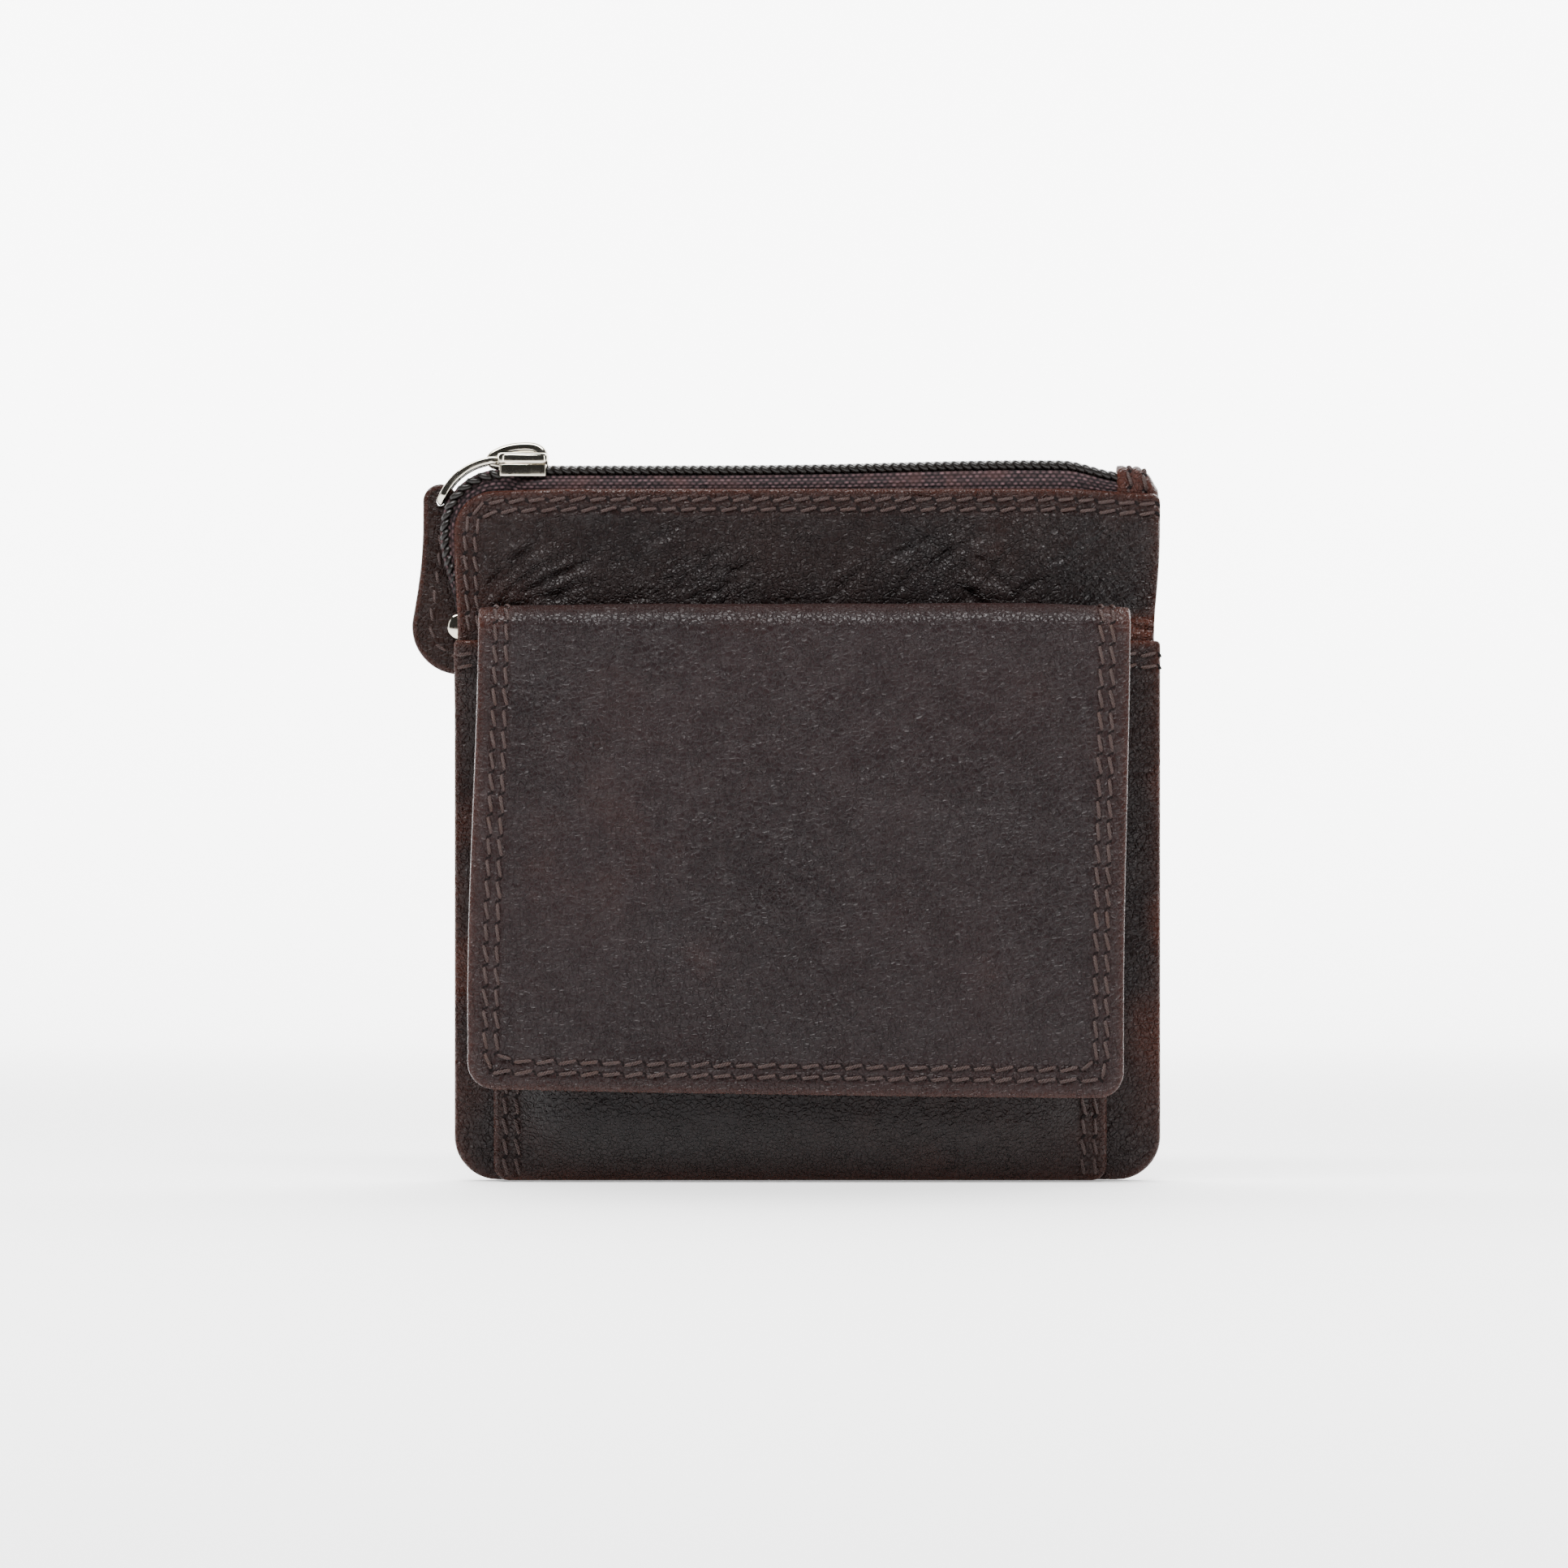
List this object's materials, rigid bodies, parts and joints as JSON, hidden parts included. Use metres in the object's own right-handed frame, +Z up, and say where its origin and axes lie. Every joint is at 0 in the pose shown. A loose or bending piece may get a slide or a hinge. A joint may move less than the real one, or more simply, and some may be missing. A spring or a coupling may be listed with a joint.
{
  "type": "zippered pouch",
  "caption": "Upright leather pouch with a zip compartment, a slip pocket, a card pocket under a front flap, and a zip slider with a leather pull.",
  "frame": {"origin": "centre of the base of the whole object's box, hanging pull included", "axes": "+Z up to the zip, the flap faces -Y, the hanging pull is on the -X side"},
  "size_m": [0.1118, 0.0208, 0.1099],
  "materials": {
    "leather": "dark brown waxed pull-up leather, soft satin",
    "leather_lining": "dark brown split leather, matt",
    "lining": "brown woven lining",
    "zip_tape": "woven plum brown tape",
    "zip_coil": "black nylon coil, glossy",
    "nickel": "polished nickel plate",
    "steel": "plain steel",
    "thread": "waxed twisted brown thread"
  },
  "bodies": {
    "pouch": {"back_panel": "leather", "front_panel": "leather", "back_lining": "lining", "front_lining": "lining", "slip_pocket": "leather", "pocket_back": "leather", "pocket_front": "leather", "pocket_magnet": "steel", "zip_tape_front": "zip_tape", "zip_tape_back": "zip_tape", "zip_coil_front": "zip_coil", "zip_coil_back": "zip_coil", "zip_top_stops": "nickel", "zip_bottom_stop": "nickel", "zip_end_tab": "leather", "thread_zip_front": "thread", "thread_zip_back": "thread", "thread_slip_pocket": "thread", "thread_pocket": "thread", "thread_end_tab": "thread"},
    "flap": {"flap_outer": "leather", "flap_lining": "leather_lining", "flap_magnet": "steel", "thread_flap": "thread"},
    "slider": {"slider_body": "nickel", "slider_bridge": "nickel"},
    "pull_link": {"pull_link": "nickel"},
    "pull_tab": {"pull_tab_front": "leather", "pull_tab_back": "leather", "rivet_cap": "nickel", "rivet_post": "nickel", "thread_pull_tab": "thread"}
  },
  "joints": [
    {"name": "flap_hinge", "type": "hinge", "parent": "pouch", "child": "flap", "pos_m": [0.00321, -0.0064, 0.08175], "axis": [-1, 0, 0], "range_deg": [0, 170]},
    {"name": "zip_slide", "type": "slide", "parent": "pouch", "child": "slider", "axis": [1, 0, 0], "range_m": [0, 0.082], "deforming": ["zip_tape_front", "zip_tape_back", "zip_coil_front", "zip_coil_back"]},
    {"name": "link_swing", "type": "hinge", "parent": "slider", "child": "pull_link", "pos_m": [-0.04254, 0.00515, 0.1074], "axis": [0, 1, 0], "range_deg": [0, 150]},
    {"name": "tab_swing", "type": "hinge", "parent": "pull_link", "child": "pull_tab", "pos_m": [-0.05162, 0.00515, 0.1012], "axis": [0, 1, 0], "range_deg": [-30, 120]}
  ]
}
